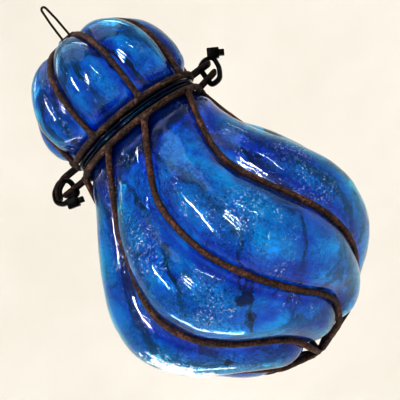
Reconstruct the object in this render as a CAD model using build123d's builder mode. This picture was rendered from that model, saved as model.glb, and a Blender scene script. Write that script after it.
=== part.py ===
from build123d import *
from math import cos, hypot, pi, radians, sin, tan
import os

os.makedirs("parts", exist_ok=True)

# A hanging lantern: lobed glass blown inside an iron wire cage, in two halves.
# The origin is the inside top of the hanger, where it rests on a hook. +Z is up.
# The hinge-side ears point to -X, the clasp-side ears to +X. Millimetres, degrees.

# Datum heights
HANGER_DROP = 24.0  # hanger's inside top down to the staple bar it is hooked on
STAPLE_ABOVE_NECK = 75.5
NECK_Z = -HANGER_DROP - STAPLE_ABOVE_NECK  # plane of the body ring
RING_SPACING = 9.0
LID_Z = NECK_Z + RING_SPACING  # plane of the lid ring

# Wires
RIB_COUNT = 8
RIB_STEP = 360 / RIB_COUNT
BODY_WIRE = 3.2
LID_WIRE = 3.0
BODY_RING_RADIUS = 43.0
BODY_RING_WIRE = 4.0
LID_RING_RADIUS = 44.0
LID_RING_WIRE = 3.6
WIRE_GAP = 1.3  # between a rib and the glass behind it

# Body cage: (depth below the neck, radius) of a rib, and (depth, turn) of its swirl
BODY_CAGE = [(0, 44), (20, 47.4), (52, 58), (88, 73), (108, 73.5), (126, 64.5), (147, 43.6), (158, 30)]
BODY_SWIRL = [(0, 0), (20, -14), (40, -23.5), (60, -23), (95, -14), (125, 1), (147, 25), (158, 30)]
BODY_STATIONS = [1, 12, 26, 42, 60, 78, 96, 112, 126, 138, 148, 155, 158.5]
BODY_FIRST_RIB = -33.0  # azimuth at the neck, from the front (-Y) towards +X
BODY_RIB_DRIFT = [6, -3.5, -3, 0, 0, 0, 0, 0]  # hand-bent ribs don't start evenly
BODY_LEAN = 3.5  # the pear bulges this far towards -X at half its height
FOOT_DEPTH = 166.0
FOOT_TURN = 31.0

# Lid cage: (height above the lid ring, radius) of a rib, straight up the dome
LID_CAGE = [(0, 44), (12, 45.6), (24, 46.2), (38, 43.3), (48.5, 36), (56, 26), (60, 15)]
LID_FIRST_RIB = -30.5
CROWN_HEIGHT = 61.0
HUB_RADIUS = 4.8  # the ribs' cut ends stop here, inside the hub weld

# Glass: how far the lobes swell past the valleys that the ribs press into it
WALL = 2.5
POINTS_PER_LOBE = 6
BODY_LOBE = [
    (0, 0), (20, 5.5), (38, 10.2), (55, 12.6), (75, 14.4), (92, 13.8),
    (110, 13.4), (128, 13.6), (140, 15), (149, 12.5), (156, 9),
]
BODY_NECK_RADIUS = 40.4
BODY_SECTIONS = [14, 26, 40, 56, 72, 88, 104, 118, 130, 140, 148, 153.5]
LID_LOBE = [(0, 0), (10, 5.4), (22, 7.8), (38, 8.4), (48, 10), (57, 13.5)]
LOBE_ROUNDING = 1.25  # above 1 the valley has a rounded floor for the wire to lie in
LID_NECK_RADIUS = 41.6
LID_SECTIONS = [10, 20, 30, 39, 47, 53, 57]
NECK_LENGTH = 5.0  # straight round neck below each mouth
LIP_RADIUS = 43.0
LIP_THICKNESS = 2.2
LIP_GAP = 0.3

# Ears: U loops, given as their side outline (distance from the axis, height above the neck)
EAR_HALF_WIDTH = 5.0
EAR_WIRE = 2.4
EAR_BEND = 3.5
HINGE_LID_EAR = [(54, 9), (61.5, 6), (64.5, 0.5)]
HINGE_BODY_EAR = [(60.5, 0)]
CLASP_LID_EAR = [(57.5, 8.4)]
CLASP_BODY_EAR = [(57, 2)]

# Hanger and the staple that it is hooked on
HANGER_WIRE = 1.4
HANGER_HALF_BASE = 2.6
HANGER_HALF_TIP = 1.55
STAPLE_WIRE = 2.4
STAPLE_HALF_SPAN = 5.4
EYE_PLAY = 0.25

# Cable ties: strap centre lines seen from the front (distance towards +X, height above the neck)
STRAP_WIDTH = 3.6
STRAP_THICKNESS = 1.5
HEAD_WIDTH = 5.4
CLASP_STRAP = [(50.4, -3.4), (57, -3.4), (61, 2.5), (62, 9.5), (57, 12), (51.2, 10)]
CLASP_HEAD = (63.4, 11.6)
HINGE_STRAP = [(-53, -3.6), (-52.6, 6), (-58, 9.6), (-65, 6), (-67.6, 0.6), (-64.6, -3.6)]
HINGE_HEAD = (-59.2, -6.2)
HEAD_SIZE = (7.4, 6.2)
TAIL_SIZE = (3.6, 3.6)
TAIL_REACH = 5.0  # from the head's middle to the tail's, along the head


def smooth(points, x):
    """Cubic through (x, y) points, with slopes taken from each point's neighbours."""
    last = len(points) - 1
    i = 0
    while i < last - 1 and x > points[i + 1][0]:
        i += 1

    def slope(k):
        low, high = points[max(k - 1, 0)], points[min(k + 1, last)]
        return (high[1] - low[1]) / (high[0] - low[0])

    (x0, y0), (x1, y1) = points[i], points[i + 1]
    span = x1 - x0
    t = (x - x0) / span
    rise = y0 * (1 + 2 * t) * (1 - t) ** 2 + y1 * t * t * (3 - 2 * t)
    return rise + span * (slope(i) * t * (1 - t) ** 2 - slope(i + 1) * t * t * (1 - t))


def valley(cage, x, wire):
    """Radius of the glass behind a rib: the cage, less the wire and gap square to its slope."""
    step = 0.5
    slope = (smooth(cage, x + step) - smooth(cage, x - step)) / (2 * step)
    return smooth(cage, x) - (wire / 2 + WIRE_GAP) * hypot(1, slope)


def at_azimuth(radius, azimuth, z, shift=0.0):
    """A point by its azimuth from the front (-Y), positive towards +X."""
    return (radius * sin(radians(azimuth)) + shift, -radius * cos(radians(azimuth)), z)


def lean(depth):
    """Sideways shift of the body's middle line."""
    t = depth / FOOT_DEPTH
    return -BODY_LEAN * 4 * t * (1 - t)


def bend_radii(points):
    """Largest tangent arcs that share each run between its two corners."""
    radii = []
    for before, corner, after in zip(points, points[1:], points[2:]):
        run_in = Vector(*corner) - Vector(*before)
        run_out = Vector(*after) - Vector(*corner)
        turn = radians(run_in.get_angle(run_out))
        radii.append(0.45 * min(run_in.length, run_out.length) / tan(turn / 2))
    return radii


def section_plane(path):
    """Plane square to the start of a wire's path."""
    return Plane(origin=path @ 0, z_dir=path % 0)


def save(part, name):
    part.label = name
    export_step(part, f"parts/{name}.step")


# Neck rings
with BuildPart() as body_ring:
    with BuildSketch(Plane.XZ):
        with Locations((BODY_RING_RADIUS, NECK_Z)):
            Circle(BODY_RING_WIRE / 2)
    revolve(axis=Axis.Z)
save(body_ring.part, "body_ring")

with BuildPart() as lid_ring:
    with BuildSketch(Plane.XZ):
        with Locations((LID_RING_RADIUS, LID_Z)):
            Circle(LID_RING_WIRE / 2)
    revolve(axis=Axis.Z)
save(lid_ring.part, "lid_ring")

# Ribs of the body: swirled wires that turn in under the foot and end at the hub
body_starts = []
for number in range(RIB_COUNT):
    start = BODY_FIRST_RIB + number * RIB_STEP
    route = []
    for depth in BODY_STATIONS:
        settle = 1 - depth / FOOT_DEPTH
        azimuth = start + BODY_RIB_DRIFT[number] * settle + smooth(BODY_SWIRL, depth)
        route.append(at_azimuth(smooth(BODY_CAGE, depth), azimuth, NECK_Z - depth, lean(depth)))
    route.append(at_azimuth(HUB_RADIUS, start + FOOT_TURN, NECK_Z - FOOT_DEPTH))
    body_starts.append(route[0])
    with BuildPart() as body_rib:
        with BuildLine() as rib_path:
            FilletPolyline(*route, radius=bend_radii(route))
        with BuildSketch(section_plane(rib_path.line)):
            Circle(BODY_WIRE / 2)
        sweep()
    save(body_rib.part, f"body_rib_{number + 1}")

# Ribs of the lid: plain meridians over the dome
lid_starts = []
for number in range(RIB_COUNT):
    azimuth = LID_FIRST_RIB + number * RIB_STEP
    route = [at_azimuth(radius, azimuth, LID_Z + height) for height, radius in LID_CAGE]
    route.append(at_azimuth(HUB_RADIUS, azimuth, LID_Z + CROWN_HEIGHT))
    lid_starts.append(route[0])
    with BuildPart() as lid_rib:
        with BuildLine() as rib_path:
            FilletPolyline(*route, radius=bend_radii(route))
        with BuildSketch(section_plane(rib_path.line)):
            Circle(LID_WIRE / 2)
        sweep()
    save(lid_rib.part, f"lid_rib_{number + 1}")

# Weld beads where the ribs meet their rings
BEAD_RADIUS = 2.5
BEAD_OUT = 0.9
BEAD_ALONG = 0.8
for name, starts, side in (("body_weld_beads", body_starts, -1), ("lid_weld_beads", lid_starts, 1)):
    beads = []
    for x, y, z in starts:
        radius = hypot(x, y)
        grow = (radius + BEAD_OUT) / radius
        beads.append((x * grow, y * grow, z + side * BEAD_ALONG))
    with BuildPart() as weld_beads:
        with Locations(*beads):
            Sphere(BEAD_RADIUS)
    save(weld_beads.part, name)

# Hub welds at the crown and the foot
HUB_WELD_RADIUS = 6.4
HUB_WELD_HEIGHT = 4.4
for name, height in (("crown_weld", LID_Z + CROWN_HEIGHT), ("foot_weld", NECK_Z - FOOT_DEPTH)):
    with BuildPart() as hub_weld:
        with Locations((0, 0, height)):
            Cylinder(HUB_WELD_RADIUS, HUB_WELD_HEIGHT)
        fillet(hub_weld.edges().filter_by(GeomType.CIRCLE), 1.6)
    save(hub_weld.part, name)

# Staple: a short bridge over the crown weld
staple_foot = LID_Z + CROWN_HEIGHT + 0.8
staple_route = [
    (-STAPLE_HALF_SPAN, 0, staple_foot),
    (-STAPLE_HALF_SPAN, 0, -HANGER_DROP),
    (STAPLE_HALF_SPAN, 0, -HANGER_DROP),
    (STAPLE_HALF_SPAN, 0, staple_foot),
]
with BuildPart() as crown_staple:
    with BuildLine() as staple_path:
        FilletPolyline(*staple_route, radius=1.9)
    with BuildSketch(section_plane(staple_path.line)):
        Circle(STAPLE_WIRE / 2)
    sweep()
save(crown_staple.part, "crown_staple")

# Hanger: a hairpin whose legs end in eyes round the staple bar
eye_radius = STAPLE_WIRE / 2 + EYE_PLAY + HANGER_WIRE / 2
tip_z = HANGER_WIRE / 2
waist_z = -HANGER_DROP * 0.45
eye_top = -HANGER_DROP + eye_radius
hanger_route = [
    (-HANGER_HALF_BASE, 0, eye_top),
    (-HANGER_HALF_BASE + 0.2, 0, waist_z),
    (-HANGER_HALF_TIP, 0, tip_z),
    (HANGER_HALF_TIP, 0, tip_z),
    (HANGER_HALF_BASE - 0.2, 0, waist_z),
    (HANGER_HALF_BASE, 0, eye_top),
]
with BuildPart() as hanger:
    with BuildLine() as hanger_path:
        FilletPolyline(*hanger_route, radius=[80, 1.4, 1.4, 80])
    with BuildSketch(section_plane(hanger_path.line)):
        Circle(HANGER_WIRE / 2)
    sweep()
    for side in (-1, 1):
        with Locations(Location((side * HANGER_HALF_BASE, 0, -HANGER_DROP), (0, 90, 0))):
            Torus(eye_radius, HANGER_WIRE / 2)
save(hanger.part, "hanger")


def lobed_outline(crest, low, turn, drifts, shift):
    """Closed outline with one swelling between each two neighbouring ribs."""
    points = []
    for number in range(RIB_COUNT):
        here = turn + number * RIB_STEP + drifts[number]
        following = turn + (number + 1) * RIB_STEP + drifts[(number + 1) % RIB_COUNT]
        for k in range(POINTS_PER_LOBE):
            u = k / POINTS_PER_LOBE
            radius = low + (crest - low) * sin(pi * u) ** LOBE_ROUNDING
            x, y, _ = at_azimuth(radius, here + (following - here) * u, 0, shift)
            points.append((x, y))
    middle = POINTS_PER_LOBE // 2  # the seam runs down a crest, clear of the ribs
    return points[middle:] + points[:middle]


def add_section(z, points):
    """One closed loft section at height z."""
    with BuildSketch(Plane.XY.offset(z)) as section:
        with BuildLine():
            Spline(*points, periodic=True)
        make_face()
    return section


def body_sections(inset):
    """(height, outline) pairs down the body, for its outside or, inset, its inside."""
    neck = BODY_NECK_RADIUS - inset
    pairs = []
    top = LIP_THICKNESS + 4 if inset else BODY_RING_WIRE / 2 + 1
    for depth in (-top, (NECK_LENGTH - top) / 2, NECK_LENGTH):
        turn = BODY_FIRST_RIB + smooth(BODY_SWIRL, max(depth, 0))
        pairs.append((NECK_Z - depth, lobed_outline(neck, neck, turn, BODY_RIB_DRIFT, 0)))
    for depth in BODY_SECTIONS:
        low = valley(BODY_CAGE, depth, BODY_WIRE) - inset
        crest = low + smooth(BODY_LOBE, depth)
        drifts = [drift * (1 - depth / FOOT_DEPTH) for drift in BODY_RIB_DRIFT]
        turn = BODY_FIRST_RIB + smooth(BODY_SWIRL, depth)
        lift = inset if depth == BODY_SECTIONS[-1] else 0
        pairs.append((NECK_Z - depth + lift, lobed_outline(crest, low, turn, drifts, lean(depth))))
    return pairs


def lid_sections(inset):
    """(height, outline) pairs up the lid, for its outside or, inset, its inside."""
    even = [0] * RIB_COUNT
    neck = LID_NECK_RADIUS - inset
    pairs = []
    top = LIP_THICKNESS + 4 if inset else LID_RING_WIRE / 2 + 1
    for height in (-top, (NECK_LENGTH - top) / 2, NECK_LENGTH):
        pairs.append((LID_Z + height, lobed_outline(neck, neck, LID_FIRST_RIB, even, 0)))
    for height in LID_SECTIONS:
        low = valley(LID_CAGE, height, LID_WIRE) - inset
        crest = low + smooth(LID_LOBE, height)
        drop = inset if height == LID_SECTIONS[-1] else 0
        pairs.append((LID_Z + height - drop, lobed_outline(crest, low, LID_FIRST_RIB, even, 0)))
    return pairs


# Glass halves: lobed shells, each with a lip that traps it on its neck ring
body_lip_low = NECK_Z + BODY_RING_WIRE / 2 + LIP_GAP
lid_lip_low = LID_Z - LID_RING_WIRE / 2 - LIP_GAP - LIP_THICKNESS
for name, outside, inside, lip_low, neck in (
    ("body_glass", body_sections(0), body_sections(WALL), body_lip_low, BODY_NECK_RADIUS),
    ("lid_glass", lid_sections(0), lid_sections(WALL), lid_lip_low, LID_NECK_RADIUS),
):
    with BuildPart() as glass:
        outer = [add_section(z, points).sketch for z, points in outside]
        loft(outer)
        with BuildSketch(Plane.XY.offset(lip_low)):
            Circle(LIP_RADIUS)
        extrude(amount=LIP_THICKNESS)
        inner = [add_section(z, points).sketch for z, points in inside]
        loft(inner, mode=Mode.SUBTRACT)
    save(glass.part, name)

# Ears: U loops from the neck rings
EARS = (
    ("lid_ear_hinge", -1, HINGE_LID_EAR, LID_RING_RADIUS, RING_SPACING),
    ("body_ear_hinge", -1, HINGE_BODY_EAR, BODY_RING_RADIUS, 0),
    ("lid_ear_clasp", 1, CLASP_LID_EAR, LID_RING_RADIUS, RING_SPACING),
    ("body_ear_clasp", 1, CLASP_BODY_EAR, BODY_RING_RADIUS, 0),
)
for name, side, outline, ring_radius, height in EARS:
    root = (ring_radius * cos(EAR_HALF_WIDTH / ring_radius), height)
    near = [(side * x, -EAR_HALF_WIDTH, NECK_Z + z) for x, z in [root] + outline]
    far = [(x, EAR_HALF_WIDTH, z) for x, _, z in reversed(near)]
    with BuildPart() as ear:
        with BuildLine() as ear_path:
            FilletPolyline(*near, *far, radius=EAR_BEND)
        with BuildSketch(section_plane(ear_path.line)):
            Circle(EAR_WIRE / 2)
        sweep()
    save(ear.part, name)

# Cable ties: a flat strap loop, its head and the stub of its cut tail
TIES = (
    ("hinge_tie", HINGE_STRAP, HINGE_HEAD, -18),
    ("clasp_tie", CLASP_STRAP, CLASP_HEAD, -34),
)
for name, strap, head, tilt in TIES:
    tail = (head[0] + TAIL_REACH * cos(radians(tilt)), head[1] + TAIL_REACH * sin(radians(tilt)))
    with BuildPart() as tie:
        with BuildSketch(Plane.XZ):
            with BuildLine():
                FilletPolyline(*[(x, NECK_Z + z) for x, z in strap], radius=1.8, close=True)
            make_face()
            offset(amount=STRAP_THICKNESS / 2, mode=Mode.REPLACE)
            offset(amount=-STRAP_THICKNESS, mode=Mode.SUBTRACT)
        extrude(amount=STRAP_WIDTH / 2, both=True)
        with BuildSketch(Plane.XZ):
            with Locations((head[0], NECK_Z + head[1])):
                Rectangle(*HEAD_SIZE, rotation=tilt)
        extrude(amount=HEAD_WIDTH / 2, both=True)
        with BuildSketch(Plane.XZ):
            with Locations((tail[0], NECK_Z + tail[1])):
                Rectangle(*TAIL_SIZE, rotation=tilt)
        extrude(amount=STRAP_WIDTH / 2, both=True)
    save(tie.part, name)
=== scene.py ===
import math

import bmesh
import bpy
import numpy as np
from mathutils import Matrix, Vector, noise


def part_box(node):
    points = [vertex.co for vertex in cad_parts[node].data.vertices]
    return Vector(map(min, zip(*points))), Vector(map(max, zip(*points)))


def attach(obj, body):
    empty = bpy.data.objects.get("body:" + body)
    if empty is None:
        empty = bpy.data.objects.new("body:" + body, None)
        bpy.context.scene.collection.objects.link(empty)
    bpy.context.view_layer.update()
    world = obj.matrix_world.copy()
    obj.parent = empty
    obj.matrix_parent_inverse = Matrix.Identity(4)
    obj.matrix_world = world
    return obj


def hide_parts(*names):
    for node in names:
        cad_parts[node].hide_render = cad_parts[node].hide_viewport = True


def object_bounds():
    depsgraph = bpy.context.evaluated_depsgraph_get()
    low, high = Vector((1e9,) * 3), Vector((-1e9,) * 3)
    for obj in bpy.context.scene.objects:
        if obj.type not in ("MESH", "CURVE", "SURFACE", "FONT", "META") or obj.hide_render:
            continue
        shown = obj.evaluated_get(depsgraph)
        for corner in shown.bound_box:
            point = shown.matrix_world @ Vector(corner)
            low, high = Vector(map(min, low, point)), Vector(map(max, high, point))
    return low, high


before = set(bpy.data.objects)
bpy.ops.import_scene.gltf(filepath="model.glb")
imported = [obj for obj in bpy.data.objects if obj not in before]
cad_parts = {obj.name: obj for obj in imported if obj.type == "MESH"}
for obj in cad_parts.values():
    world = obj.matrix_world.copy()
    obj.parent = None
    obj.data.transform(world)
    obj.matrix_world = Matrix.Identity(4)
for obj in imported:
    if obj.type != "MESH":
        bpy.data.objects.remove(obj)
cad_low, cad_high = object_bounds()

# The lantern's sizes are in millimetres and its angles in degrees; its meshes are scaled to metres when
# made. The stage, the lights and the camera are in metres.
MM = 0.001


def middle_z(node):
    """Height of a CAD node's middle."""
    low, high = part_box(node)
    return (low.z + high.z) / 2 / MM


NECK_Z = middle_z("body_ring")
LID_Z = middle_z("lid_ring")

# The cage, as in the CAD source: (depth or height, radius) of a rib and (depth, turn) of its swirl
RIBS = 8
RIB_STEP = 360 / RIBS
BODY_CAGE = [(0, 44), (20, 47.4), (52, 58), (88, 73), (108, 73.5), (126, 64.5), (147, 43.6), (158, 30)]
BODY_SWIRL = [(0, 0), (20, -14), (40, -23.5), (60, -23), (95, -14), (125, 1), (147, 25), (158, 30)]
BODY_FIRST_RIB = -33.0
BODY_RIB_DRIFT = [6, -3.5, -3, 0, 0, 0, 0, 0]
BODY_LEAN = 3.5
FOOT_DEPTH = 166.0
FOOT_TURN = 31.0
LID_CAGE = [(0, 44), (12, 45.6), (24, 46.2), (38, 43.3), (48.5, 36), (56, 26), (60, 15)]
LID_FIRST_RIB = -30.5
CROWN_HEIGHT = 61.0
HUB_RADIUS = 4.8
BODY_WIRE = 3.2
LID_WIRE = 3.0
BODY_RING = (43.0, 4.0)
LID_RING = (44.0, 3.6)

# Glass: how far the lobes stand out square to the valleys, and the rows that close each end
WIRE_SEAT = 0.3  # from a bare rib to the glass behind it
SCALE = 0.26  # rust scale over the bare wire
BODY_LOBE = [
    (0, 0.4), (7, 1.9), (20, 4.3), (38, 9.2), (55, 12.4), (75, 13.0), (92, 11.8),
    (110, 9.8), (126, 8.7), (138, 7.8), (147, 7.2), (153, 5.6), (158, 4),
]
BODY_END = [(154.0, 30.5, 157.6, 35.5), (154.0, 24, 158.4, 27), (153.2, 16, 157.6, 18), (152.4, 8, 155, 9)]
BODY_END_TURN = [28.5, 29.5, 30.5, 31]
BODY_POLE = 152.0
LID_LOBE = [(0, 0.4), (6, 4), (12, 6.2), (22, 7.3), (38, 6.4), (48, 6.0), (56, 4.4), (60, 2.2)]
LID_END = [(57.6, 12, 60.2, 16), (56.8, 8, 58.4, 10), (56.3, 4, 56.8, 5)]
LID_POLE = 56.0
WALL = 2.0
# Mouths: (radius, height past the neck ring) round the lip, from the outside to the inside
BODY_LIP = [
    (40.4, 0.9), (41.0, 2.05), (42.2, 2.45), (42.8, 3.0), (42.9, 3.5), (42.5, 4.1),
    (41.6, 4.42), (40.2, 4.48), (38.9, 4.3), (38.1, 3.7), (38.0, 2.5),
]
LID_LIP = [
    (41.6, 0.7), (41.8, 1.85), (42.4, 2.2), (42.9, 2.7), (42.9, 3.3), (42.4, 3.9),
    (41.4, 4.18), (40.4, 4.22), (39.7, 3.9), (39.6, 3.0),
]
BODY_NECK = 40.4
LID_NECK = 41.6
COLUMNS_PER_LOBE = 26
FULL_LOBE = 6.0  # lobes at least this high get the whole range of tints
ROW_STEP = 1.5  # between the rows worked out from the cage
ROW_SPACING = 1.3  # between the mesh's rows, along the glass
ROW_SOFTENING = 14
NECK_BLEND = 6.0  # over this length the round neck turns into the first lobed rows
LIP_DARKENING_FADE = 5.0  # the dark tint of the lips fades out over this length
# Unevenness of blown glass: (height, size) of the broad and the fine waves of each skin
OUTER_WAVES = ((0.40, 17), (0.14, 7))
INNER_WAVES = ((0.55, 13), (0.20, 5))
ROWS_FROM_NECK = 12  # the waves grow in over these rows
ROWS_FROM_POLE = 6  # and die out over these


# ---- Curves and meshes ----

def smooth(points, x):
    """Cubic through (x, y) points, with slopes taken from each point's neighbours."""
    last = len(points) - 1
    i = 0
    while i < last - 1 and x > points[i + 1][0]:
        i += 1

    def slope(k):
        low, high = points[max(k - 1, 0)], points[min(k + 1, last)]
        return (high[1] - low[1]) / (high[0] - low[0])

    (x0, y0), (x1, y1) = points[i], points[i + 1]
    span = x1 - x0
    t = (x - x0) / span
    rise = y0 * (1 + 2 * t) * (1 - t) ** 2 + y1 * t * t * (3 - 2 * t)
    return rise + span * (slope(i) * t * (1 - t) ** 2 - slope(i + 1) * t * t * (1 - t))


def at_azimuth(radius, azimuth, z, shift=0.0):
    """A point by its azimuth from the front (-Y), positive towards +X."""
    a = math.radians(azimuth)
    return np.array([radius * math.sin(a) + shift, -radius * math.cos(a), z])


def lean(depth):
    """Sideways shift of the body's middle line."""
    t = min(max(depth / FOOT_DEPTH, 0), 1)
    return -BODY_LEAN * 4 * t * (1 - t)


def resample(points, spacing):
    """The same polyline with evenly spaced points."""
    points = np.asarray(points, float)
    lengths = np.r_[0, np.cumsum(np.linalg.norm(np.diff(points, axis=0), axis=1))]
    stations = np.linspace(0, lengths[-1], max(int(lengths[-1] / spacing), 2) + 1)
    return np.stack([np.interp(stations, lengths, points[:, k]) for k in range(points.shape[1])], axis=1)


def soften(points, rounds, closed=False):
    """Rounds a polyline's corners by averaging neighbours."""
    points = np.array(points, float)
    for _ in range(rounds):
        average = (np.roll(points, 1, axis=0) + np.roll(points, -1, axis=0)) / 4 + points / 2
        if not closed:
            average[0], average[-1] = points[0], points[-1]
        points = average
    return points


def bent_wire(points, spacing=0.7, rounds=10):
    """A wire's middle line through a few points, with rounded bends."""
    return soften(resample(points, spacing), rounds)


def bumps(point, size, seed):
    """Smooth noise from about -1 to 1 with features of this size."""
    return noise.noise(Vector(point) / size + Vector((seed * 7.13, seed * 3.71, seed * 5.37)))


def add_object(name, body, nodes, slot, material, verts, faces, attributes=None):
    """A mesh object that rides on a CAD body and stands for its CAD nodes."""
    mesh = bpy.data.meshes.new(name)
    mesh.from_pydata([tuple(v) for v in np.asarray(verts) * MM], [], faces)
    for key, values in (attributes or {}).items():
        values = np.asarray(values, np.float32)
        kind = "FLOAT" if values.ndim == 1 else "FLOAT_VECTOR"
        layer = mesh.attributes.new(key, kind, "POINT")
        layer.data.foreach_set("value" if values.ndim == 1 else "vector", values.ravel())
    work = bmesh.new()
    work.from_mesh(mesh)
    bmesh.ops.recalc_face_normals(work, faces=work.faces)
    work.to_mesh(mesh)
    work.free()
    mesh.shade_smooth()
    mesh.validate()
    mesh.materials.append(material)
    obj = bpy.data.objects.new(name, mesh)
    bpy.context.scene.collection.objects.link(obj)
    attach(obj, body)
    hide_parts(*nodes)
    return obj


def grid_faces(rows, columns, closed_rows=False):
    """Quads of a stack of closed rings."""
    faces = []
    for i in range(rows if closed_rows else rows - 1):
        above = ((i + 1) % rows) * columns
        here = i * columns
        for j in range(columns):
            k = (j + 1) % columns
            faces.append((here + j, here + k, above + k, above + j))
    return faces


def capped(rings, closed=False):
    """Vertices and faces of a tube's rings, with a fan over each open end."""
    rows, columns = rings.shape[:2]
    verts = rings.reshape(-1, 3)
    faces = grid_faces(rows, columns, closed)
    if not closed:
        verts = np.vstack([verts, rings[0].mean(0), rings[-1].mean(0)])
        low, high = rows * columns, rows * columns + 1
        last = (rows - 1) * columns
        for j in range(columns):
            k = (j + 1) % columns
            faces.append((j, k, low))
            faces.append((last + j, last + k, high))
    return verts, faces


def frames(path, closed=False):
    """Two directions square to a path at each point, turned as little as possible along it."""
    if closed:
        tangents = np.roll(path, -1, axis=0) - np.roll(path, 1, axis=0)
    else:
        tangents = np.gradient(path, axis=0)
    tangents /= np.linalg.norm(tangents, axis=1)[:, None]
    helper = np.array([0, 0, 1.0]) if abs(tangents[0][2]) < 0.9 else np.array([0, 1.0, 0])
    side = np.cross(tangents[0], helper)
    sides = []
    for tangent in tangents:
        side = side - tangent * side.dot(tangent)
        side = side / np.linalg.norm(side)
        sides.append(side)
    sides = np.array(sides)
    return sides, np.cross(tangents, sides), tangents


END_SHRINK = 0.72  # a cut end's radius, as a share of the wire's
END_LENGTH = 0.22  # how far a cut end's bevel reaches, in wire radii


def wire(path, radius, around=14, hammer=0.05, pits=0.035, seed=1, closed=False):
    """A wire of slightly uneven thickness, with pitted skin and bevelled cut ends."""
    path = np.asarray(path, float)
    sides, ups, tangents = frames(path, closed)
    rings = []
    for i, centre in enumerate(path):
        ring = []
        for j in range(around):
            a = 2 * math.pi * j / around
            out = sides[i] * math.cos(a) + ups[i] * math.sin(a)
            point = centre + out * radius
            swell = 1 + hammer * bumps(point, 5.0, seed) + pits * bumps(point, 1.1, seed + 3)
            ring.append(centre + out * radius * swell)
        rings.append(ring)
    rings = np.array(rings)
    if not closed:
        first = path[0] + (rings[0] - path[0]) * END_SHRINK - tangents[0] * radius * END_LENGTH
        last = path[-1] + (rings[-1] - path[-1]) * END_SHRINK + tangents[-1] * radius * END_LENGTH
        rings = np.concatenate([first[None], rings, last[None]])
    return rings


def join(parts):
    """One vertex list and one face list from several."""
    verts, faces, count = [], [], 0
    for part_verts, part_faces in parts:
        verts.append(np.asarray(part_verts))
        faces += [tuple(index + count for index in face) for face in part_faces]
        count += len(part_verts)
    return np.vstack(verts), faces


def lump(centre, radii, seed, rough=0.16, detail=4):
    """An uneven weld lump."""
    work = bmesh.new()
    bmesh.ops.create_icosphere(work, subdivisions=detail, radius=1)
    verts = []
    for v in work.verts:
        point = np.array(v.co)
        swell = 1 + rough * bumps(point * 3, 1.6, seed) + rough * 0.4 * bumps(point * 3, 0.6, seed + 1)
        verts.append(np.asarray(centre) + point * np.asarray(radii) * swell)
    faces = [tuple(v.index for v in f.verts) for f in work.faces]
    work.free()
    return np.array(verts), faces


def block(centre, size, bevel, turn):
    """A moulded block with rounded edges, turned about Y."""
    work = bmesh.new()
    bmesh.ops.create_cube(work, size=1)
    for v in work.verts:
        v.co = Vector([c * s for c, s in zip(v.co, size)])
    bmesh.ops.bevel(work, geom=work.edges[:], offset=bevel, segments=3, affect="EDGES", profile=0.6)
    spin = Matrix.Rotation(math.radians(turn), 3, "Y")
    work.verts.index_update()
    verts = np.array([np.array(spin @ v.co) + np.asarray(centre) for v in work.verts])
    faces = [tuple(v.index for v in f.verts) for f in work.faces]
    work.free()
    return verts, faces


# ---- Materials ----

def new_material(name):
    material = bpy.data.materials.new(name)
    material.use_nodes = True
    tree = material.node_tree
    return material, tree, tree.nodes["Principled BSDF"]


def put(socket, value):
    """Links or sets one input."""
    if isinstance(value, bpy.types.NodeSocket):
        socket.id_data.links.new(value, socket)
    else:
        socket.default_value = value


def add(tree, kind, inputs=None, **settings):
    """A node with its inputs linked or set; the inputs are keyed by name or number."""
    node = tree.nodes.new(kind)
    for key, value in settings.items():
        setattr(node, key, value)
    for key, value in (inputs or {}).items():
        put(node.inputs[key], value)
    return node


def ramp(tree, value, stops):
    """Colour by value, from (position, colour) stops; a number stands for a grey."""
    node = add(tree, "ShaderNodeValToRGB", {0: value})
    elements = node.color_ramp.elements
    while len(elements) < len(stops):
        elements.new(0.5)
    for element, (position, colour) in zip(elements, stops):
        element.position = position
        if not isinstance(colour, tuple):
            colour = (colour, colour, colour)
        element.color = (*colour, 1)
    return node.outputs[0]


def noise_map(tree, vector, size, detail=3.0, rough=0.55, warp=0.0):
    """Noise with features of about this size in millimetres."""
    inputs = {
        "Vector": vector, "Scale": 1 / (size * MM),
        "Detail": detail, "Roughness": rough, "Distortion": warp,
    }
    return add(tree, "ShaderNodeTexNoise", inputs).outputs["Fac"]


def math_node(tree, operation, a, b):
    return add(tree, "ShaderNodeMath", {0: a, 1: b}, operation=operation).outputs[0]


def mix(tree, factor, a, b):
    """Colour a blended towards colour b."""
    node = add(tree, "ShaderNodeMix", data_type="RGBA")
    put(node.inputs[0], factor)
    put(node.inputs[6], (*a, 1) if isinstance(a, tuple) else a)
    put(node.inputs[7], (*b, 1) if isinstance(b, tuple) else b)
    return node.outputs[2]


def stretch(tree, vector, factors):
    """A vector scaled along each axis."""
    return add(tree, "ShaderNodeVectorMath", {0: vector, 1: factors}, operation="MULTIPLY").outputs[0]


def bump(tree, height, distance, normal=None):
    """A bumped normal, its full height given in millimetres."""
    inputs = {"Height": height, "Distance": distance * MM, "Strength": 1.0}
    if normal is not None:
        inputs["Normal"] = normal
    return add(tree, "ShaderNodeBump", inputs).outputs[0]


def distance_share(tree, place, spot, size):
    """Distance from a spot on the object, as a share of this size."""
    centre = tuple(c * MM for c in spot)
    far = add(tree, "ShaderNodeVectorMath", {0: place, 1: centre}, operation="DISTANCE").outputs["Value"]
    return math_node(tree, "DIVIDE", far, size * MM)


def crack_lines(tree, vector, cell, low, high):
    """Thin lines between irregular cells of this size; low and high set the line's soft edge."""
    inputs = {"Vector": vector, "Scale": 1 / (cell * MM)}
    edge = add(tree, "ShaderNodeTexVoronoi", inputs, feature="DISTANCE_TO_EDGE").outputs["Distance"]
    return ramp(tree, edge, [(low, 1.0), (high, 0.0)])


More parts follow.
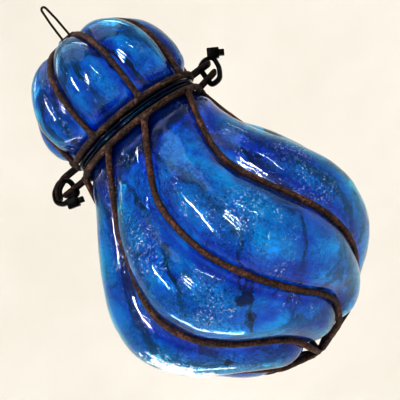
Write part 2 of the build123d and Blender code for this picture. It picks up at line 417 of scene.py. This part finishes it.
GLASS_IOR = 1.47
# Painted reflection: the colour of the pale lavender band along each lobe beside its rib
PAINTED_EDGE_REFLECTION = (0.40, 0.46, 0.94)
# Painted glints: the colour of white specks on frosted patches of the glass, which are also rougher and
# less clear
FROST_AND_GLINT = (0.80, 0.93, 1.0)
LIP_TINT = (0.002, 0.008, 0.03)
BARE_GLASS = (0.93, 0.96, 0.98)  # where the colour has flaked off
# Crazing: cell size, line width, size of the crazed patches and how much of the noise they leave out
CRAZING = ((6.5, 0.036, 30, 0.38), (3.4, 0.045, 22, 0.48))


def blown_glass(name, thin, deep, marks=(), frost_glint_spots=(), flaked=False):
    """Cobalt glass, darker along drawn streaks, crazed, worn and frosted, with painted shade in the
    valleys, a painted reflection beside them and painted glints.
    """
    material, tree, shader = new_material(name)
    flow = add(tree, "ShaderNodeAttribute", attribute_name="flow").outputs["Vector"]
    crest = add(tree, "ShaderNodeAttribute", attribute_name="crest").outputs["Fac"]
    lip = add(tree, "ShaderNodeAttribute", attribute_name="lip").outputs["Fac"]
    place = add(tree, "ShaderNodeTexCoord").outputs["Object"]

    drawn = stretch(tree, flow, (1, 1, 0.2))
    streaks = noise_map(tree, drawn, 15, 1.5, 0.5, 0.3)
    tone = ramp(tree, streaks, [(0.34, 0.3), (0.46, 0.8), (0.6, 1.0)])
    wavy_crest = math_node(tree, "ADD", crest, math_node(tree, "MULTIPLY", streaks, 0.16))
    # Painted shade: darker in the valleys beside the ribs and in an arch set in from each lobe's edge,
    # lighter on the crests
    painted_valley_shade = ramp(tree, wavy_crest, [(0.10, 0.0), (0.28, 0.5), (0.46, 0.15), (0.72, 0.75), (0.95, 1.0)])
    # Random streak tone times the painted valley shade
    tone_and_painted_shade = math_node(tree, "MULTIPLY", tone, painted_valley_shade)
    colour = mix(tree, tone_and_painted_shade, deep, thin)
    # Painted reflection: a pale band along each lobe, a little way out from its valley
    painted_edge_reflection = ramp(tree, wavy_crest, [(0.16, 0.0), (0.27, 0.6), (0.34, 0.6), (0.5, 0.0)])
    colour = mix(tree, painted_edge_reflection, colour, PAINTED_EDGE_REFLECTION)

    wobble = add(tree, "ShaderNodeTexNoise", {"Vector": place, "Scale": 180, "Detail": 2}).outputs["Color"]
    warped = mix(tree, 0.02, place, wobble)
    craze_parts = []
    for cell, width, patch, low in CRAZING:
        line = crack_lines(tree, warped, cell, width * 0.4, width)
        patches = ramp(tree, noise_map(tree, place, patch, 2), [(low, 0.0), (low + 0.12, 1.0)])
        craze_parts.append(math_node(tree, "MULTIPLY", line, patches))
    crazing = math_node(tree, "MAXIMUM", *craze_parts)
    colour = mix(tree, math_node(tree, "MULTIPLY", crazing, 0.95), colour, tuple(c * 0.3 for c in deep))

    # Painted glints: white specks mixed into the colour where the glass is frosted; the same places are
    # made rougher and less clear
    painted_glints = crack_lines(tree, warped, 2.3, 0.03, 0.07)
    broken = ramp(tree, noise_map(tree, place, 1.6, 2, 0.7), [(0.54, 0.0), (0.6, 1.0)])
    frost_glint_places = ramp(tree, noise_map(tree, place, 24, 2), [(0.55, 0.0), (0.66, 1.0)])
    for spot, reach in frost_glint_spots:
        spread = ramp(tree, distance_share(tree, place, spot, reach), [(0.35, 1.0), (1.0, 0.0)])
        frost_glint_places = math_node(tree, "MAXIMUM", frost_glint_places, spread)
    frost_and_glints = math_node(tree, "MULTIPLY", math_node(tree, "MULTIPLY", painted_glints, broken), frost_glint_places)
    colour = mix(tree, math_node(tree, "MULTIPLY", frost_and_glints, 0.9), colour, FROST_AND_GLINT)

    for spot, width, tint in marks:
        ragged = noise_map(tree, place, width * 0.8, 3)
        share = math_node(tree, "ADD", distance_share(tree, place, spot, width), ragged)
        stain = ramp(tree, share, [(0.95, 1.0), (1.05, 0.0)])
        colour = mix(tree, math_node(tree, "MULTIPLY", stain, 0.85), colour, tint)

    # The lips and the glass next to the neck rings are tinted near black and made less clear
    colour = mix(tree, lip, colour, LIP_TINT)
    worn_skin = math_node(tree, "ADD", frost_and_glints, math_node(tree, "MULTIPLY", crazing, 0.3))
    dullness = math_node(tree, "ADD", worn_skin, math_node(tree, "MULTIPLY", lip, 0.8))
    transmission = ramp(tree, dullness, [(0.0, 0.98), (0.35, 0.75), (1.0, 0.15)])
    rough = ramp(tree, worn_skin, [(0.0, 0.03), (1.0, 0.3)])
    if flaked:
        zone = add(tree, "ShaderNodeAttribute", attribute_name="worn").outputs["Fac"]
        chips = noise_map(tree, place, 6, 6, 0.74, 0.5)
        bare = ramp(tree, math_node(tree, "ADD", chips, zone), [(0.93, 0.0), (0.95, 1.0)])
        colour = mix(tree, bare, colour, BARE_GLASS)
        rough = mix(tree, bare, rough, (0.25, 0.25, 0.25))
        transmission = mix(tree, bare, transmission, (0.35, 0.35, 0.35))

    put(shader.inputs["Base Color"], colour)
    put(shader.inputs["Transmission Weight"], transmission)
    put(shader.inputs["Roughness"], rough)
    shader.inputs["IOR"].default_value = GLASS_IOR
    shader.inputs["Specular IOR Level"].default_value = 0.2
    ripples = bump(tree, noise_map(tree, stretch(tree, flow, (1, 1, 0.45)), 9, 2), 0.14)
    skin = bump(tree, noise_map(tree, place, 1.6, 2), 0.01, ripples)
    etched = bump(tree, worn_skin, 0.06, skin)
    put(shader.inputs["Normal"], etched)
    return material


def rusty_iron(name, dark, brown, orange, metal=0.1, size=1.0):
    """Old iron wire: brown scale, orange rust in patches and dark pits."""
    material, tree, shader = new_material(name)
    place = add(tree, "ShaderNodeTexCoord").outputs["Object"]
    patches = noise_map(tree, place, 7 * size, 4, 0.6)
    grain = noise_map(tree, place, 1.4 * size, 4, 0.8)
    colour = mix(tree, ramp(tree, grain, [(0.44, 0.0), (0.6, 1.0)]), dark, brown)
    in_patches = ramp(tree, patches, [(0.48, 0.0), (0.62, 1.0)])
    blooms = math_node(tree, "MULTIPLY", in_patches, ramp(tree, grain, [(0.42, 0.0), (0.62, 1.0)]))
    colour = mix(tree, blooms, colour, orange)
    pits = ramp(tree, noise_map(tree, place, 0.8 * size, 2, 0.6), [(0.38, 1.0), (0.47, 0.0)])
    colour = mix(tree, math_node(tree, "MULTIPLY", pits, 0.85), colour, tuple(c * 0.3 for c in dark))
    put(shader.inputs["Base Color"], colour)
    put(shader.inputs["Roughness"], ramp(tree, grain, [(0.3, 0.5), (0.7, 0.85)]))
    shader.inputs["Metallic"].default_value = metal
    shader.inputs["Specular IOR Level"].default_value = 0.3
    height = mix(tree, pits, grain, (0, 0, 0))
    put(shader.inputs["Normal"], bump(tree, height, 0.35))
    return material


def nylon():
    """Black cable-tie nylon with a moulded sheen."""
    material, tree, shader = new_material("nylon")
    place = add(tree, "ShaderNodeTexCoord").outputs["Object"]
    scuffs = noise_map(tree, place, 2.2, 4, 0.65)
    black, scuffed = (0.001, 0.001, 0.0012), (0.004, 0.004, 0.0045)
    put(shader.inputs["Base Color"], ramp(tree, scuffs, [(0.3, black), (0.75, scuffed)]))
    put(shader.inputs["Roughness"], ramp(tree, scuffs, [(0.3, 0.2), (0.75, 0.42)]))
    shader.inputs["Specular IOR Level"].default_value = 0.08
    put(shader.inputs["Normal"], bump(tree, noise_map(tree, place, 0.8, 2), 0.03))
    return material


NAVY = (0.002, 0.010, 0.09)
SOOT = (0.001, 0.003, 0.02)
TEAL = (0.005, 0.42, 0.55)
# Stains on the body: place, width and tint
MARKS = [
    ((-11.6, -77.4, NECK_Z - 112.8), 9.0, NAVY),
    ((-15.0, -75.2, NECK_Z - 121.1), 5.0, SOOT),
    ((-40.8, -51.2, NECK_Z - 134.2), 4.6, SOOT),
    ((-41.2, -62.8, NECK_Z - 59.6), 2.6, SOOT),
    ((-29.0, -76.4, NECK_Z - 82.9), 5.0, TEAL),
]
# Frosted patches on the body, which also carry painted glints: place and reach
FROST_GLINT_SPOTS = [
    ((59.3, -43.2, NECK_Z - 65.5), 20),
    ((57.0, -51.4, NECK_Z - 94.5), 15),
    ((21.3, -75.2, NECK_Z - 74.5), 18),
    ((-35.0, -60.0, NECK_Z - 55.0), 14),
]
BODY_GLASS = blown_glass("body_glass", (0.004, 0.65, 1.0), (0.0005, 0.088, 0.72), MARKS, FROST_GLINT_SPOTS, True)
LID_GLASS = blown_glass("lid_glass", (0.006, 0.58, 1.0), (0.0005, 0.075, 0.68))
BODY_RUST = rusty_iron("body_rib_iron", (0.016, 0.010, 0.008), (0.125, 0.062, 0.044), (0.26, 0.115, 0.065))
LID_RUST = rusty_iron("lid_rib_iron", (0.015, 0.011, 0.010), (0.115, 0.064, 0.052), (0.21, 0.10, 0.066))
RING_RUST = rusty_iron("ring_iron", (0.014, 0.010, 0.009), (0.110, 0.066, 0.052), (0.28, 0.155, 0.11), 0.2)
EAR_IRON = rusty_iron("ear_iron", (0.006, 0.005, 0.005), (0.028, 0.016, 0.014), (0.09, 0.035, 0.022))
WELD = rusty_iron("weld", (0.020, 0.015, 0.012), (0.09, 0.06, 0.045), (0.18, 0.10, 0.07), 0.1, 1.3)
WIRE_STEEL = rusty_iron(
    "hanger_wire", (0.008, 0.006, 0.005), (0.032, 0.025, 0.018), (0.06, 0.04, 0.02), 0.3, 0.8,
)
NYLON = nylon()


# ---- Glass ----

def valley_behind(cage, x, wire_size):
    """The glass behind a rib as (position along the axis, radius), and its outward direction."""
    step = 0.5
    slope = (smooth(cage, x + step) - smooth(cage, x - step)) / (2 * step)
    length = math.hypot(1, slope)
    out = np.array([-slope, 1]) / length
    seat = wire_size / 2 + WIRE_SEAT
    return np.array([x, smooth(cage, x)]) - out * seat, out


def glass_rows(cage, wire_size, lobe, first, last, neck, end, turn_at, end_turn):
    """Rows of (valley position, valley radius, crest position, crest radius, turn, settle)."""
    rows = []
    for x in np.arange(first, last, ROW_STEP):
        valley, out = valley_behind(cage, x, wire_size)
        blend = min(max((x - first) / NECK_BLEND, 0), 1)
        blend = blend * blend * (3 - 2 * blend)
        valley[1] = neck + (valley[1] - neck) * blend
        valley[0] = x + (valley[0] - x) * blend
        crest = valley + out * smooth(lobe, x) * blend
        rows.append([valley[0], valley[1], crest[0], crest[1], turn_at(x)])
    for row, turn in zip(end, end_turn):
        rows.append([*row, turn])
    return soften(resample(rows, ROW_SPACING), ROW_SOFTENING)


def waves(point, sizes, seed):
    """Summed smooth noise, from (height, size) pairs."""
    return sum(height * bumps(point, size, seed + k) for k, (height, size) in enumerate(sizes))


def lobed_shell(rows, lip, pole, starts, place, fullness, wave_seed):
    """Outer and inner skins joined over the lip, with the values that tint them.

    starts(number, along) gives a rib's azimuth, place(azimuth, radius, along) a point, and
    fullness(number, along) the share of the usual height that one lobe reaches.
    """
    count = RIBS * COLUMNS_PER_LOBE
    shares = [(1 - math.cos(math.pi * k / COLUMNS_PER_LOBE)) / 2 for k in range(COLUMNS_PER_LOBE)]
    outer, flow, crest_share = [], [], []
    for v_along, v_radius, c_along, c_radius, turn in rows:
        ring, straight, share = [], [], []
        swell = min(math.hypot(c_along - v_along, c_radius - v_radius) / FULL_LOBE, 1)
        for number in range(RIBS):
            here = starts(number, v_along)
            following = starts(number + 1, v_along)
            full = fullness(number, v_along)
            for u in shares:
                bulge = 4 * u * (1 - u) * full
                radius = v_radius + (c_radius - v_radius) * bulge
                along = v_along + (c_along - v_along) * bulge
                ring.append(place(turn + here + (following - here) * u, radius, along))
                straight.append(at_azimuth(radius, RIB_STEP * (number + u), along) * MM)
                share.append(bulge * swell)
        outer.append(ring)
        flow.append(straight)
        crest_share.append(share)
    outer, flow, crest_share = np.array(outer), np.array(flow), np.array(crest_share)

    along_rows = np.gradient(outer, axis=0)
    round_rows = np.roll(outer, -1, axis=1) - np.roll(outer, 1, axis=1)
    normals = np.cross(round_rows, along_rows)
    normals /= np.linalg.norm(normals, axis=2)[:, :, None]
    if (normals[5] * (outer[5] - outer[5].mean(0))).sum() < 0:
        normals = -normals
    rows_count = len(outer)
    inner = outer.copy()
    for i in range(rows_count):
        ease = min(i / ROWS_FROM_NECK, (rows_count - 1 - i) / ROWS_FROM_POLE, 1)
        for j in range(count):
            point = outer[i, j]
            outside = ease * waves(point, OUTER_WAVES, wave_seed)
            inside = WALL + ease * waves(point, INNER_WAVES, wave_seed + 2)
            outer[i, j] = point + normals[i, j] * outside
            inner[i, j] = point - normals[i, j] * inside

    turn = rows[0][4]
    mouth, mouth_flow = [], []
    for radius, height in lip:
        ring, straight = [], []
        for number in range(RIBS):
            here, following = starts(number, 0), starts(number + 1, 0)
            for u in shares:
                ring.append(place(turn + here + (following - here) * u, radius, -height))
                straight.append(at_azimuth(radius, RIB_STEP * (number + u), -height) * MM)
        mouth.append(ring)
        mouth_flow.append(straight)
    mouth, mouth_flow = np.array(mouth), np.array(mouth_flow)
    rings = np.concatenate([outer[::-1], mouth, inner])
    flows = np.concatenate([flow[::-1], mouth_flow, flow])
    shares_all = np.concatenate([crest_share[::-1], np.zeros(mouth.shape[:2]), crest_share])
    near_neck = np.clip(1 - np.abs(rows[:, 0] - 1) / LIP_DARKENING_FADE, 0, 1)[:, None] * np.ones(count)
    lip_share = np.concatenate([near_neck[::-1], np.ones(mouth.shape[:2]), near_neck])
    verts = rings.reshape(-1, 3)
    faces = grid_faces(len(rings), count)
    outer_pole, inner_pole = place(turn, 0, pole), place(turn, 0, pole - WALL)
    verts = np.vstack([verts, outer_pole, inner_pole])
    last = (len(rings) - 1) * count
    for j in range(count):
        k = (j + 1) % count
        faces.append((j, k, len(verts) - 2))
        faces.append((last + j, last + k, len(verts) - 1))
    ends = np.array([flow[-1].mean(0)] * 2)
    attributes = {
        "flow": np.vstack([flows.reshape(-1, 3), ends]),
        "crest": np.r_[shares_all.ravel(), 0.6, 0.6],
        "lip": np.r_[lip_share.ravel(), 0, 0],
    }
    return verts, faces, attributes


def body_starts(number, along):
    """Azimuth of a rib before the shared swirl."""
    settle = 1 - min(max(along / FOOT_DEPTH, 0), 1)
    return BODY_FIRST_RIB + number * RIB_STEP + BODY_RIB_DRIFT[number % RIBS] * settle


def body_place(azimuth, radius, depth):
    return at_azimuth(radius, azimuth, NECK_Z - depth, lean(depth))


# Flatter lobes: (share of the height lost, where along the axis, over what length)
FLAT_AT_NECK = (0.34, 22, 24)
FLAT_LOW = (0.45, 138, 28)
FLAT_ON_LID = (0.4, 44, 14)
FLAT_LID_SHARE = 0.66


def flattened(along, lost, middle, reach):
    return 1 - lost * math.exp(-((along - middle) / reach) ** 2)


def body_fullness(number, along):
    """The blower left some lobes flatter: two beside the clasp at the neck, one low on the hinge side."""
    if number in (2, 3):
        return flattened(along, *FLAT_AT_NECK)
    if number == 6:
        return flattened(along, *FLAT_LOW)
    return 1


def lid_fullness(number, along):
    """The lid's clasp-side lobe is flatter all the way, and the lobe opposite it near its top."""
    if number == 6:
        return flattened(along, *FLAT_ON_LID)
    return FLAT_LID_SHARE if number == 2 else 1


def lid_starts(number, along):
    return LID_FIRST_RIB + number * RIB_STEP


def lid_place(azimuth, radius, height):
    return at_azimuth(radius, azimuth, LID_Z + height)


body_rows = glass_rows(
    BODY_CAGE, BODY_WIRE, BODY_LOBE, 3, 153.5, BODY_NECK, BODY_END,
    lambda depth: smooth(BODY_SWIRL, depth), BODY_END_TURN,
)
body_shell = lobed_shell(body_rows, BODY_LIP, BODY_POLE, body_starts, body_place, body_fullness, 2)
# The worn zone, where the colour has flaked off: a slanting patch low on the hinge side
WORN_DEPTH, WORN_HALF_HEIGHT = 124, 30
WORN_AZIMUTH, WORN_SLANT, WORN_HALF_WIDTH = -58.2, 0.26, 13
WORN_STRENGTH = 0.52
worn = []
for x, y, z in body_shell[0]:
    below = NECK_Z - z - WORN_DEPTH
    beside = math.degrees(math.atan2(x, -y)) - (WORN_AZIMUTH + WORN_SLANT * below)
    nearness = math.exp(-(below / WORN_HALF_HEIGHT) ** 4) * math.exp(-(beside / WORN_HALF_WIDTH) ** 2)
    worn.append(WORN_STRENGTH * nearness)
body_shell[2]["worn"] = np.array(worn)
add_object("blown_body", "body", ["body_glass"], "body_glass", BODY_GLASS, *body_shell)

lid_rows = glass_rows(
    LID_CAGE, LID_WIRE, LID_LOBE, 3, 58.5, LID_NECK, LID_END, lambda height: 0.0, [0, 0, 0]
)
lid_shell = lobed_shell(lid_rows, LID_LIP, LID_POLE, lid_starts, lid_place, lid_fullness, 9)
add_object("blown_lid", "lid", ["lid_glass"], "lid_glass", LID_GLASS, *lid_shell)


# ---- Cage ----

RIB_SPACING = 0.75  # between a rib's rings
RIB_SKIN = {"hammer": 0.07, "pits": 0.06}
body_bead_places, lid_bead_places = [], []
for number in range(RIBS):
    route = []
    for depth in np.linspace(0.5, 158.5, 100):
        azimuth = body_starts(number, depth) + smooth(BODY_SWIRL, depth)
        route.append(body_place(azimuth, smooth(BODY_CAGE, depth), depth))
    foot_azimuth = BODY_FIRST_RIB + number * RIB_STEP + FOOT_TURN
    route.append(at_azimuth(HUB_RADIUS, foot_azimuth, NECK_Z - FOOT_DEPTH))
    body_bead_places.append(route[0])
    path = bent_wire(route, RIB_SPACING, 12)
    verts, faces = capped(wire(path, BODY_WIRE / 2 + SCALE, **RIB_SKIN, seed=number + 1))
    node = f"body_rib_{number + 1}"
    add_object(f"body_rod_{number + 1}", "body", [node], "body_rib_iron", BODY_RUST, verts, faces)

    azimuth = LID_FIRST_RIB + number * RIB_STEP
    route = [at_azimuth(smooth(LID_CAGE, h), azimuth, LID_Z + h) for h in np.linspace(0.3, 60, 60)]
    route.append(at_azimuth(HUB_RADIUS, azimuth, LID_Z + CROWN_HEIGHT))
    lid_bead_places.append(route[0])
    path = bent_wire(route, RIB_SPACING, 8)
    verts, faces = capped(wire(path, LID_WIRE / 2 + SCALE, **RIB_SKIN, seed=number + 20))
    node = f"lid_rib_{number + 1}"
    add_object(f"lid_rod_{number + 1}", "lid", [node], "lid_rib_iron", LID_RUST, verts, faces)

for name, body, (radius, wire_size), height, seed in (
    ("body_hoop", "body", BODY_RING, NECK_Z, 40),
    ("lid_hoop", "lid", LID_RING, LID_Z, 44),
):
    path = [at_azimuth(radius, a, height) for a in np.arange(0, 360, 1.0)]
    verts, faces = capped(wire(path, wire_size / 2, 16, seed=seed, closed=True), closed=True)
    node = name.replace("hoop", "ring")
    add_object(name, body, [node], "ring_iron", RING_RUST, verts, faces)

BEAD_RADII = (2.35, 2.35, 2.5)
BEAD_OUT = 0.6  # a bead's middle stands this far outside the wire's
BEAD_ALONG = 1.1  # and this far along the rib
for name, body, places, side in (
    ("body_welds", "body", body_bead_places, -1),
    ("lid_welds", "lid", lid_bead_places, 1),
):
    lumps = []
    for number, (x, y, z) in enumerate(places):
        grow = 1 + BEAD_OUT / math.hypot(x, y)
        centre = (x * grow, y * grow, z + side * BEAD_ALONG)
        lumps.append(lump(centre, BEAD_RADII, number * 5 + 3, 0.22, 3))
    verts, faces = join(lumps)
    add_object(name, body, [name.replace("welds", "weld_beads")], "weld", WELD, verts, faces)

NUGGET_RADII = (6.1, 6.1, 2.15)
for name, body, height, seed in (
    ("crown_nugget", "lid", LID_Z + CROWN_HEIGHT, 61),
    ("foot_nugget", "body", NECK_Z - FOOT_DEPTH, 66),
):
    verts, faces = lump((0, 0, height), NUGGET_RADII, seed, 0.12, 4)
    add_object(name, body, [name.replace("nugget", "weld")], "weld", WELD, verts, faces)


# ---- Ears, staple and hanger ----

EAR_HALF_WIDTH = 5.0
EAR_WIRE = 2.4
EARS = (
    ("lid_loop_hinge", "lid", "lid_ear_hinge", -1, [(54, 9), (61.5, 6), (64.5, 0.5)], 44, 9),
    ("body_loop_hinge", "body", "body_ear_hinge", -1, [(60.5, 0)], 43, 0),
    ("lid_loop_clasp", "lid", "lid_ear_clasp", 1, [(57.5, 8.4)], 44, 9),
    ("body_loop_clasp", "body", "body_ear_clasp", 1, [(57, 2)], 43, 0),
)
for name, body, node, side, outline, ring_radius, height in EARS:
    root = (ring_radius * math.cos(EAR_HALF_WIDTH / ring_radius), height)
    near = [(side * x, -EAR_HALF_WIDTH, NECK_Z + z) for x, z in [root] + outline]
    far = [(x, -y, z) for x, y, z in reversed(near)]
    path = bent_wire(near + far, 0.35, 26)
    verts, faces = capped(wire(path, EAR_WIRE / 2, seed=70 + len(name)))
    add_object(name, body, [node], "ear_iron", EAR_IRON, verts, faces)

hook_low, hook_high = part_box("hanger")
staple_low, staple_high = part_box("crown_staple")
STAPLE_WIRE = 2.4
staple_z = staple_high.z / MM - STAPLE_WIRE / 2
staple_half = staple_high.x / MM - STAPLE_WIRE / 2
staple_foot = staple_low.z / MM
route = [
    (-staple_half, 0, staple_foot), (-staple_half, 0, staple_z),
    (staple_half, 0, staple_z), (staple_half, 0, staple_foot),
]
verts, faces = capped(wire(bent_wire(route, 0.3, 16), STAPLE_WIRE / 2, seed=81))
add_object("staple", "lid", ["crown_staple"], "lid_rib_iron", LID_RUST, verts, faces)

HANGER_WIRE = 1.4
EYE_RADIUS = (hook_high.y - hook_low.y) / MM / 2 - HANGER_WIRE / 2
HALF_BASE = 2.6
HALF_TIP = 1.55
BEND_START = -1.2  # height where the legs turn into the hairpin's bend
BEND_TRIM = 0.3  # the bend leaves out this angle at each side, in radians
eye_top = staple_z + EYE_RADIUS
tip = hook_high.z / MM - HANGER_WIRE / 2
leg = [(-HALF_BASE, 0, eye_top), (-HALF_BASE + 0.25, 0, eye_top * 0.5), (-HALF_TIP, 0, BEND_START)]
bend = [
    (-HALF_TIP * math.cos(a), 0, BEND_START + (tip - BEND_START) * math.sin(a))
    for a in np.linspace(BEND_TRIM, math.pi - BEND_TRIM, 9)
]
path = bent_wire(leg + bend + [(-x, y, z) for x, y, z in reversed(leg)], 0.3, 8)
parts = [capped(wire(path, HANGER_WIRE / 2, 12, 0.03, 0.02, 90))]
for side in (-1, 1):
    turns = np.linspace(0, 2 * math.pi, 61)[:-1]
    eye = [(side * HALF_BASE, EYE_RADIUS * math.sin(a), staple_z + EYE_RADIUS * math.cos(a)) for a in turns]
    parts.append(capped(wire(eye, HANGER_WIRE / 2, 12, 0.03, 0.02, 91 + side, True), closed=True))
verts, faces = join(parts)
add_object("hairpin", "hanger", ["hanger"], "hanger_wire", WIRE_STEEL, verts, faces)


# ---- Cable ties ----

STRAP_HALF_WIDTH = 1.8
STRAP_HALF_THICKNESS = 1.0
STRAP_TWIST = 22.0
TOOTH_DEPTH = 0.16
TAIL_REACH = 5.0
# The strap's outline as shares of its half width and half thickness
STRAP_OUTLINE = (
    (-1, -0.55), (-0.82, -1), (0.82, -1), (1, -0.55), (1, 0.55), (0.86, 1), (-0.86, 1), (-1, 0.55),
)
# Head, its front plate and the tail's stub: size, and rounding of the edges
HEAD_BLOCK = ((7.3, 5.3, 6.1), 0.7)
PLATE_BLOCK = ((4.6, 0.5, 3.8), 0.2)
PLATE_FRONT = -2.75
STUB_BLOCK = ((3.6, 3.5, 3.5), 0.35)
TIES = (
    ("hinge_strap", "body", "hinge_tie",
     [(-53, -3.6), (-52.6, 6), (-58, 9.6), (-65, 6), (-67.6, 0.6), (-64.6, -3.6)], (-59.2, -6.2), -18),
    ("clasp_strap", "lid", "clasp_tie",
     [(50.4, -3.4), (57, -3.4), (61, 2.5), (62, 9.5), (57, 12), (51.2, 10)], (63.4, 11.6), -34),
)
for name, body, node, loop, head, tilt in TIES:
    corners = np.array([(x, 0, NECK_Z + z) for x, z in loop], float)
    line = resample(np.vstack([corners, corners[:1]]), 0.25)[:-1]
    line = soften(line, 90, closed=True)
    middle = line.mean(0)
    _, _, tangents = frames(line, closed=True)
    twist = math.radians(STRAP_TWIST)
    rings = []
    for i, (centre, tangent) in enumerate(zip(line, tangents)):
        out = np.cross(tangent, (0, 1, 0))
        out = out if out.dot(centre - middle) > 0 else -out
        flat = np.array((0, 1, 0)) * math.cos(twist) + out * math.sin(twist)
        out = out * math.cos(twist) - np.array((0, 1, 0)) * math.sin(twist)
        tooth = TOOTH_DEPTH * ((i % 4) / 4)
        ring = []
        for w, t in STRAP_OUTLINE:
            depth = t * STRAP_HALF_THICKNESS - (tooth if t < -0.9 else 0)
            ring.append(centre + flat * w * STRAP_HALF_WIDTH + out * depth)
        rings.append(ring)
    centre = (head[0], 0, NECK_Z + head[1])
    reach = (TAIL_REACH * math.cos(math.radians(tilt)), TAIL_REACH * math.sin(math.radians(tilt)))
    stub = (centre[0] + reach[0], 0, centre[2] + reach[1])
    parts = [
        capped(np.array(rings), closed=True),
        block(centre, *HEAD_BLOCK, -tilt),
        block((centre[0], PLATE_FRONT, centre[2]), *PLATE_BLOCK, -tilt),
        block(stub, *STUB_BLOCK, -tilt),
    ]
    verts, faces = join(parts)
    add_object(name, body, [node], "nylon", NYLON, verts, faces)


# ---- Stage, light and camera ----

FLOOR_BELOW = 0.34  # from the lantern's foot down to the floor
FLOOR_SHADES = ((0.79, 0.765, 0.715), (0.85, 0.83, 0.79))
AIR_COLOUR = (1.0, 0.985, 0.96, 1)
AIR_STRENGTH = 0.42


def stage_bowl():
    """A pale studio floor that curves up into a wall all the way round, with no visible horizon."""
    floor_z = cad_low.z - FLOOR_BELOW
    floor_radius, wall_radius, top = 1.2, 2.6, 2.2
    profile = [(r, floor_z) for r in np.linspace(0.02, floor_radius, 8)]
    sweep = wall_radius - floor_radius
    profile += [
        (floor_radius + sweep * math.sin(a), floor_z + sweep * (1 - math.cos(a)))
        for a in np.linspace(0.08, math.pi / 2, 16)
    ]
    profile.append((wall_radius, floor_z + sweep + top))
    around = 72
    turns = [2 * math.pi * j / around for j in range(around)]
    rings = [[(r * math.cos(a), r * math.sin(a), z) for a in turns] for r, z in profile]
    verts = np.array(rings).reshape(-1, 3)
    faces = grid_faces(len(rings), around) + [tuple(range(around))]
    mesh = bpy.data.meshes.new("studio_floor")
    mesh.from_pydata([tuple(v) for v in verts], [], faces)
    mesh.shade_smooth()
    material, tree, shader = new_material("studio_cloth")
    place = add(tree, "ShaderNodeTexCoord").outputs["Object"]
    soft = noise_map(tree, place, 500, 3)
    put(shader.inputs["Base Color"], ramp(tree, soft, list(zip((0.3, 0.7), FLOOR_SHADES))))
    shader.inputs["Roughness"].default_value = 0.9
    mesh.materials.append(material)
    floor = bpy.data.objects.new("studio_floor", mesh)
    bpy.context.scene.collection.objects.link(floor)


def area_light(name, place, target, size, power, colour=(1, 1, 1)):
    light = bpy.data.lights.new(name, "AREA")
    light.shape = "RECTANGLE"
    light.size, light.size_y = size
    light.energy = power
    light.color = colour
    lamp = bpy.data.objects.new(name, light)
    lamp.location = place
    lamp.rotation_mode = "QUATERNION"
    lamp.rotation_quaternion = (Vector(target) - Vector(place)).to_track_quat("-Z", "Y")
    bpy.context.scene.collection.objects.link(lamp)


stage_bowl()
scene = bpy.context.scene
world = bpy.data.worlds.new("studio_air")
world.use_nodes = True
world.node_tree.nodes["Background"].inputs["Color"].default_value = AIR_COLOUR
world.node_tree.nodes["Background"].inputs["Strength"].default_value = AIR_STRENGTH
scene.world = world

aim = Vector((0.0015, 0, (NECK_Z - 53) * MM))
area_light("window_left", (-0.85, -0.62, 0.50), aim, (0.045, 0.5), 6, (1, 0.98, 0.95))
area_light("window_right", (0.62, -0.85, 0.50), aim, (0.02, 0.3), 1.0)
for pane in (-1, 0, 1):
    place = (-0.10 + 0.13 * pane, -1.0, 0.34 + 0.07 * pane)
    area_light(f"window_pane_{pane + 2}", place, aim, (0.05, 0.24), 1.7)
area_light("low_left_sheet", (-0.36, 0.06, -0.50), aim, (0.05, 0.6), 1.0, (0.94, 0.95, 1.0))
area_light("sky_panel", (0.2, -0.1, 1.3), aim, (1.4, 1.4), 6)
for side in (-1, 1):
    area_light(f"backdrop_wash_{side + 2}", (1.0 * side, 0.9, 1.5), (0.3 * side, 2.6, -0.2), (0.8, 0.8), 7)

# Camera: a little below the lantern's middle, rolled so that the lantern lies across the frame
DISTANCE = 0.5
ELEVATION = -4.2
ROLL = 38.8
FIELD = 27.0
elevation, roll = math.radians(ELEVATION), math.radians(ROLL)
forward = Vector((0, math.cos(elevation), -math.sin(elevation)))
level = Vector((1, 0, 0))
upright = level.cross(forward)
across = level * math.cos(roll) - upright * math.sin(roll)
up = level * math.sin(roll) + upright * math.cos(roll)
camera_data = bpy.data.cameras.new("camera")
camera_data.sensor_width = 36
camera_data.lens = camera_data.sensor_width / 2 / math.tan(math.radians(FIELD / 2))
camera_data.clip_start, camera_data.clip_end = 0.02, 20
camera = bpy.data.objects.new("camera", camera_data)
turned = Matrix((across, up, -forward)).transposed()
camera.matrix_world = Matrix.Translation(aim - forward * DISTANCE) @ turned.to_4x4()
scene.collection.objects.link(camera)
scene.camera = camera
scene.view_settings.view_transform = "Standard"
scene.view_settings.look = "High Contrast"
